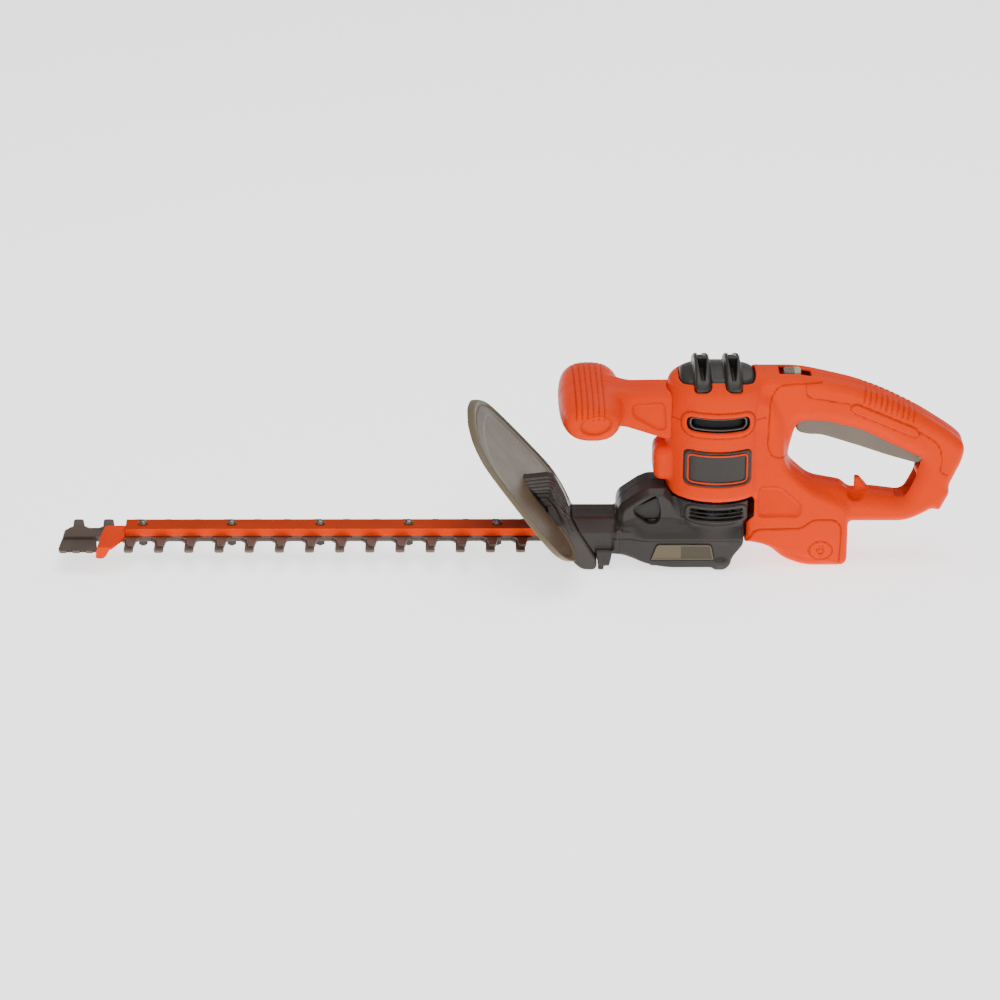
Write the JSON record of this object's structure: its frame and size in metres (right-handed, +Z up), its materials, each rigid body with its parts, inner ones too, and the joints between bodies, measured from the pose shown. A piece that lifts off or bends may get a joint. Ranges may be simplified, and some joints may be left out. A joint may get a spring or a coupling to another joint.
{
  "type": "hedge trimmer",
  "caption": "Mains hedge trimmer with a double reciprocating blade, front T-handle, rear loop handle with trigger, and a hand guard.",
  "frame": {"origin": "foot of the motor axis on the plane that the tool stands on", "axes": "+X towards the rear handle, -X along the blades, +Z up, Y = 0 the moulding split"},
  "size_m": [0.838, 0.2132, 0.199],
  "materials": {
    "orange_plastic": "moulded, satin gloss",
    "orange_paint": "painted, semi-gloss",
    "charcoal_plastic": "moulded, fine grain",
    "taupe_plastic": "moulded, satin",
    "blade_steel": "dark ground steel",
    "bright_steel": "zinc plated",
    "grey_plastic": "moulded, satin",
    "black_plastic": "moulded",
    "brass": "satin",
    "lamination_steel": "stacked laminations",
    "copper": "enamelled copper",
    "plate_aluminium": "die cast"
  },
  "bodies": {
    "housing": {"left_shell": "orange_plastic", "right_shell": "orange_plastic", "front_handle_left": "orange_plastic", "front_handle_right": "orange_plastic", "vent_cap": "charcoal_plastic", "vent_grille_left": "charcoal_plastic", "vent_grille_right": "charcoal_plastic", "badge_left": "charcoal_plastic", "badge_right": "charcoal_plastic", "gear_case_left": "charcoal_plastic", "gear_case_right": "charcoal_plastic", "gear_case_base": "charcoal_plastic", "nameplate_left": "taupe_plastic", "nameplate_right": "taupe_plastic", "guard_shield": "taupe_plastic", "guard_bracket": "charcoal_plastic", "guard_screw_left": "bright_steel", "guard_screw_right": "bright_steel", "blade_cover": "orange_paint", "tip_guard": "orange_plastic", "blade_bolt_1": "bright_steel", "blade_bolt_2": "bright_steel", "blade_bolt_3": "bright_steel", "blade_bolt_4": "bright_steel", "blade_bolt_5": "bright_steel", "blade_nut_1": "bright_steel", "blade_nut_2": "bright_steel", "blade_nut_3": "bright_steel", "blade_nut_4": "bright_steel", "blade_nut_5": "bright_steel", "trigger_spring": "bright_steel", "lock_off_spring": "bright_steel", "switch_body": "black_plastic", "inlet_block": "black_plastic", "inlet_pin_left": "brass", "inlet_pin_right": "brass", "field_core": "lamination_steel", "field_coils": "copper", "upper_bearing": "bright_steel", "lower_bearing": "bright_steel", "brush_holder_left": "brass", "brush_holder_right": "brass", "gear_plate": "plate_aluminium", "gear_pin": "bright_steel"},
    "armature": {"armature_core": "lamination_steel", "armature_shaft": "bright_steel", "pinion": "bright_steel", "commutator": "copper", "fan": "black_plastic"},
    "drive_gear": {"drive_gear": "bright_steel", "cam_upper": "bright_steel", "cam_lower": "bright_steel"},
    "upper_blade": {"upper_blade": "blade_steel"},
    "lower_blade": {"lower_blade": "blade_steel"},
    "trigger": {"trigger": "grey_plastic"},
    "lock_off_button": {"lock_off_button": "grey_plastic"},
    "switch_plunger": {"switch_plunger": "grey_plastic"}
  },
  "joints": [
    {"name": "motor_spin", "type": "hinge", "parent": "housing", "child": "armature", "pos_m": [0, 0, 0.104], "axis": [0, 0, 1], "range_deg": [-522.5, 522.5]},
    {"name": "gear_spin", "type": "hinge", "parent": "housing", "child": "drive_gear", "pos_m": [-0.0342, 0, 0.034], "axis": [0, 0, 1], "range_deg": [-90.1, 90.1]},
    {"name": "upper_blade_slide", "type": "slide", "parent": "housing", "child": "upper_blade", "axis": [-1, 0, 0], "range_m": [-0.007, 0.007]},
    {"name": "lower_blade_slide", "type": "slide", "parent": "housing", "child": "lower_blade", "axis": [-1, 0, 0], "range_m": [-0.0071, 0.0071]},
    {"name": "trigger_pull", "type": "hinge", "parent": "housing", "child": "trigger", "pos_m": [0.19, 0, 0.1045], "axis": [0, 1, 0], "range_deg": [0, 4.5], "stiffness_Nm_per_rad": 1.2, "springref_deg": -6.88, "deforming": ["trigger_spring"]},
    {"name": "switch_travel", "type": "slide", "parent": "housing", "child": "switch_plunger", "axis": [0, 0, 1], "range_m": [0, 0.0027]},
    {"name": "lock_off_slide", "type": "slide", "parent": "housing", "child": "lock_off_button", "axis": [1, 0, 0], "range_m": [0, 0.006], "stiffness_N_per_m": 180, "springref_m": -0.004, "deforming": ["lock_off_spring"]}
  ],
  "couplings": [
    {"joint": "lower_blade_slide", "follows": "upper_blade_slide", "ratio": -1},
    {"joint": "motor_spin", "follows": "upper_blade_slide", "rad_per_m": -1301.5},
    {"joint": "gear_spin", "follows": "upper_blade_slide", "rad_per_m": 224.4},
    {"joint": "switch_travel", "follows": "trigger_pull", "m_per_rad": 0.033741}
  ]
}
